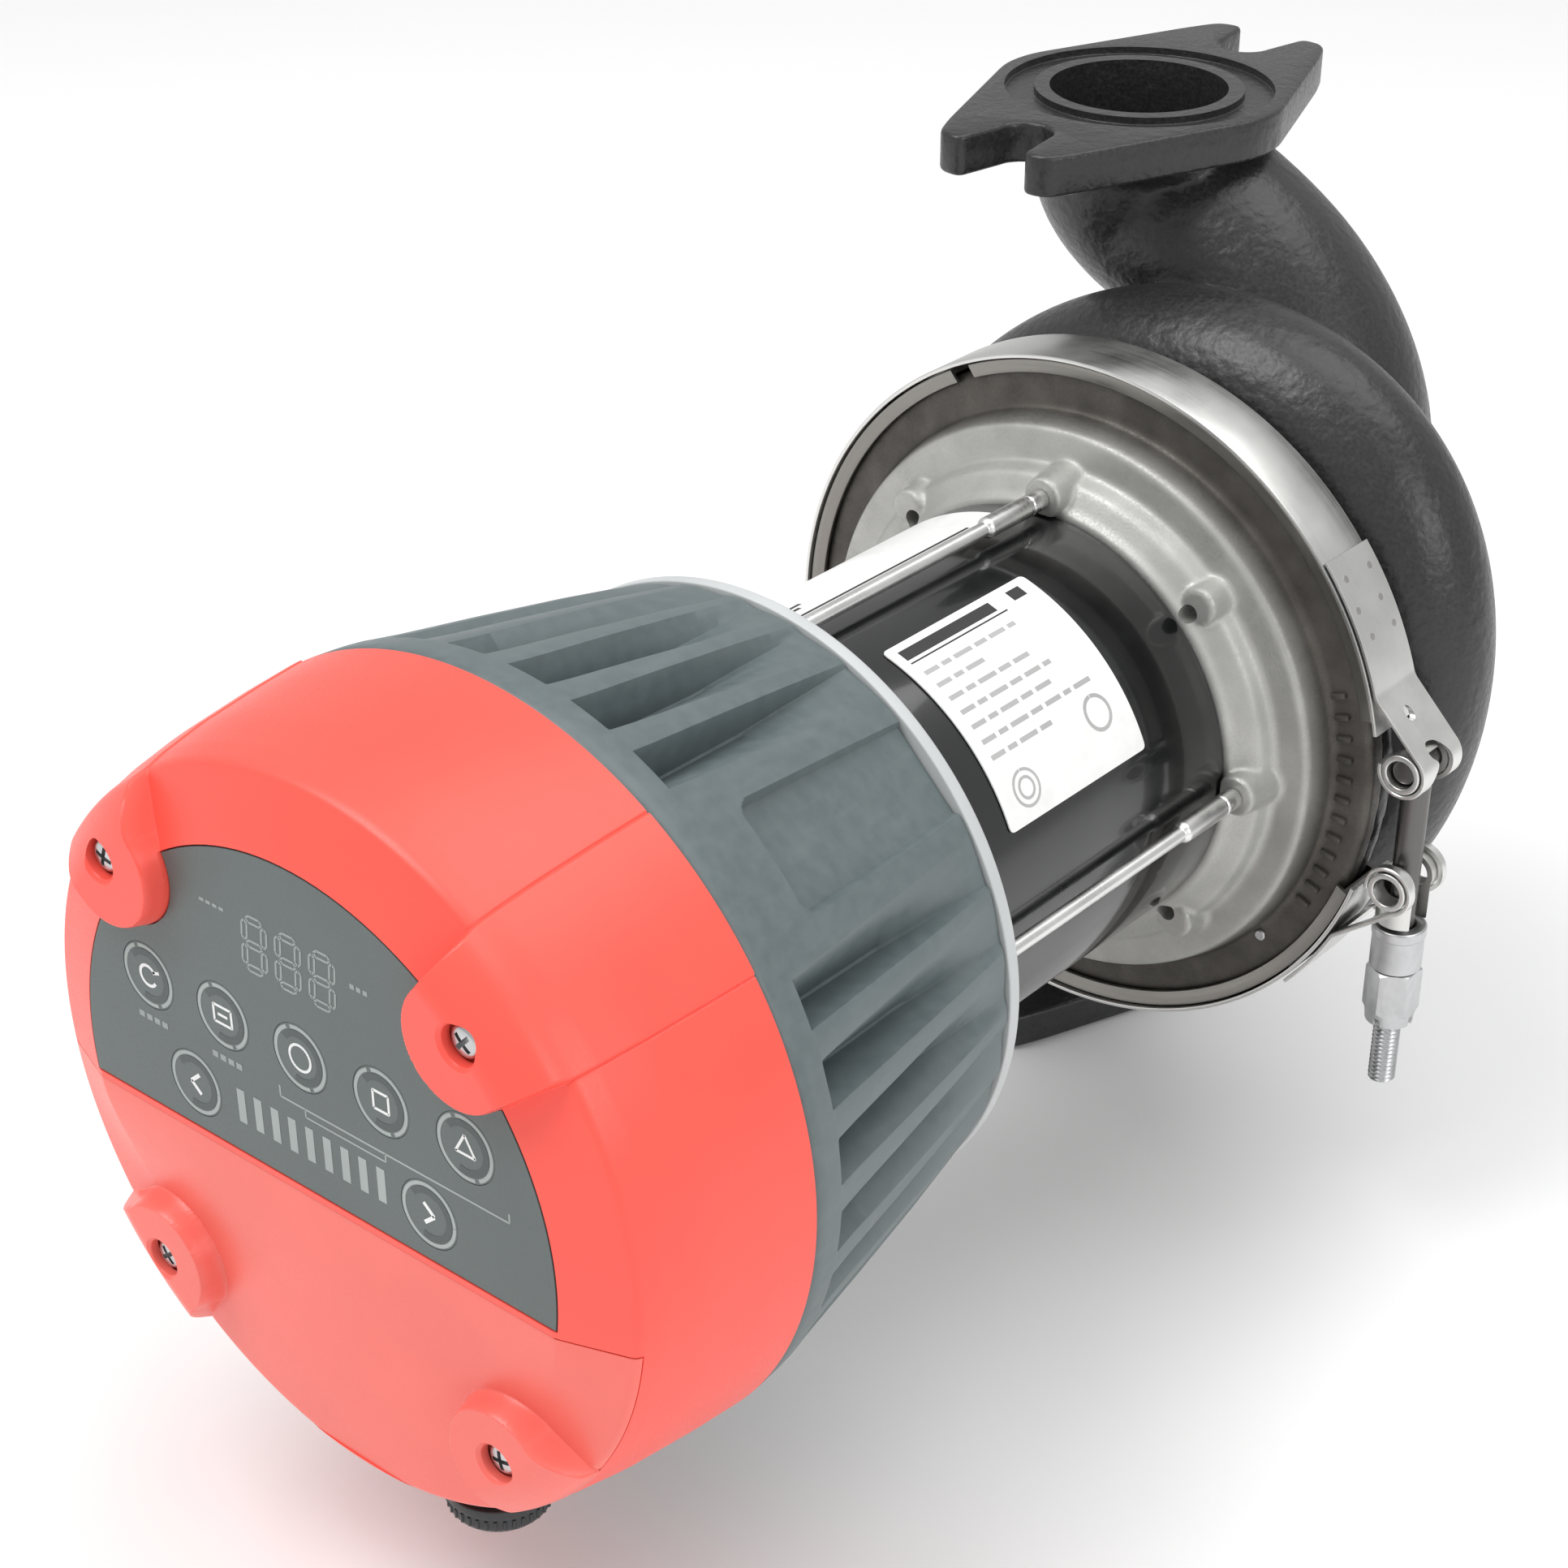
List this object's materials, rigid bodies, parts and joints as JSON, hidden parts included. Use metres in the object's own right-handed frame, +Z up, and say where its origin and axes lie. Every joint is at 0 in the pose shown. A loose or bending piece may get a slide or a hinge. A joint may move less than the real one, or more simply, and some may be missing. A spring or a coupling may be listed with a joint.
{
  "type": "circulator pump",
  "caption": "Wet-rotor circulator pump with two forked pipe flanges, a V-band clamped motor on tie rods and a tapered electronic drive head with a keypad face.",
  "frame": {"origin": "centre of the bounding box", "axes": "+Y runs along the rotor axis from the keypad face to the volute, +Z runs up the pipe axis, +X is to the right for someone who faces the keypad"},
  "size_m": [0.1654, 0.3376, 0.216],
  "materials": {
    "cast_iron": "black textured paint on grey iron, low sheen",
    "aluminium_casting": "bead-blasted casting, satin",
    "stainless": "rolled stainless strip, lightly brushed",
    "zinc_plated_steel": "bright zinc plating",
    "black_enamel": "glossy black enamel",
    "rubber": "matte moulded rubber",
    "lamination_steel": "stacked laminations, satin",
    "copper_winding": "varnished copper wire",
    "ceramic": "ground ceramic, smooth",
    "carbon_graphite": "ground carbon, matte",
    "grey_plastic": "moulded grey plastic, fine texture",
    "pale_grey_plastic": "moulded pale grey plastic",
    "red_plastic": "moulded coral red plastic, satin",
    "keypad_film": "printed grey film, satin",
    "circuit_board": "green solder mask",
    "black_plastic": "moulded black plastic",
    "label_paper": "white coated label stock"
  },
  "bodies": {
    "pump_body": {"volute_casing": "cast_iron", "pump_cover": "aluminium_casting", "clamp_strap": "stainless", "clamp_retainer_1": "stainless", "clamp_retainer_2": "stainless", "clamp_retainer_3": "stainless", "strap_loop_upper": "stainless", "strap_loop_lower": "stainless", "trunnion_upper": "stainless", "trunnion_lower": "stainless", "wear_ring": "stainless", "rotor_can": "stainless", "bearing_plate": "stainless", "tie_rod_1": "zinc_plated_steel", "tie_rod_2": "zinc_plated_steel", "tie_rod_3": "zinc_plated_steel", "tie_rod_4": "zinc_plated_steel", "cover_screw_1": "zinc_plated_steel", "cover_screw_2": "zinc_plated_steel", "cover_screw_3": "zinc_plated_steel", "cover_screw_4": "zinc_plated_steel", "stator_housing": "black_enamel", "casing_oring": "rubber", "can_oring": "rubber", "gland_seal": "rubber", "stator_core": "lamination_steel", "winding_front": "copper_winding", "winding_rear": "copper_winding", "bearing_front": "carbon_graphite", "bearing_rear": "carbon_graphite", "drive_housing": "grey_plastic", "housing_ring": "pale_grey_plastic", "control_cover": "red_plastic", "terminal_cover": "red_plastic", "keypad_overlay": "keypad_film", "display_board": "circuit_board", "power_board": "circuit_board", "terminal_block": "black_plastic", "gland_body": "black_plastic", "gland_nut": "black_plastic", "nameplate": "label_paper", "rating_label": "label_paper"},
    "rotor": {"rotor_core": "lamination_steel", "shaft": "ceramic", "thrust_ring": "carbon_graphite", "impeller": "stainless", "impeller_shroud": "stainless"},
    "t_bolt": {"t_bolt": "zinc_plated_steel"},
    "latch_sleeve": {"latch_sleeve": "zinc_plated_steel"},
    "latch_nut": {"latch_nut": "zinc_plated_steel"},
    "key_auto": {"key_auto": "keypad_film"},
    "key_input": {"key_input": "keypad_film"},
    "key_mode_a": {"key_mode_a": "keypad_film"},
    "key_mode_b": {"key_mode_b": "keypad_film"},
    "key_mode_c": {"key_mode_c": "keypad_film"},
    "key_down": {"key_down": "keypad_film"},
    "key_up": {"key_up": "keypad_film"}
  },
  "joints": [
    {"name": "rotor_spin", "type": "hinge", "parent": "pump_body", "child": "rotor", "pos_m": [-0.00121, 0.00425, 0], "axis": [0, 1, 0], "continuous": true},
    {"name": "t_bolt_swing", "type": "hinge", "parent": "pump_body", "child": "t_bolt", "pos_m": [0.07729, 0.0579, 0.0091], "axis": [0, -1, 0], "range_deg": [0, 60]},
    {"name": "sleeve_slide", "type": "slide", "parent": "t_bolt", "child": "latch_sleeve", "axis": [0, 0, -1], "range_m": [0, 0.005]},
    {"name": "nut_turn", "type": "hinge", "parent": "latch_sleeve", "child": "latch_nut", "pos_m": [0.07729, 0.0579, -0.0453], "axis": [0, 0, -1], "range_deg": [0, 1800]},
    {"name": "key_auto_press", "type": "slide", "parent": "pump_body", "child": "key_auto", "axis": [0, 1, 0], "range_m": [0, 0.0005]},
    {"name": "key_input_press", "type": "slide", "parent": "pump_body", "child": "key_input", "axis": [0, 1, 0], "range_m": [0, 0.0005]},
    {"name": "key_mode_a_press", "type": "slide", "parent": "pump_body", "child": "key_mode_a", "axis": [0, 1, 0], "range_m": [0, 0.0005]},
    {"name": "key_mode_b_press", "type": "slide", "parent": "pump_body", "child": "key_mode_b", "axis": [0, 1, 0], "range_m": [0, 0.0005]},
    {"name": "key_mode_c_press", "type": "slide", "parent": "pump_body", "child": "key_mode_c", "axis": [0, 1, 0], "range_m": [0, 0.0005]},
    {"name": "key_down_press", "type": "slide", "parent": "pump_body", "child": "key_down", "axis": [0, 1, 0], "range_m": [0, 0.0005]},
    {"name": "key_up_press", "type": "slide", "parent": "pump_body", "child": "key_up", "axis": [0, 1, 0], "range_m": [0, 0.0005]}
  ],
  "couplings": [
    {"joint": "nut_turn", "follows": "sleeve_slide", "rad_per_m": 6283.2}
  ]
}
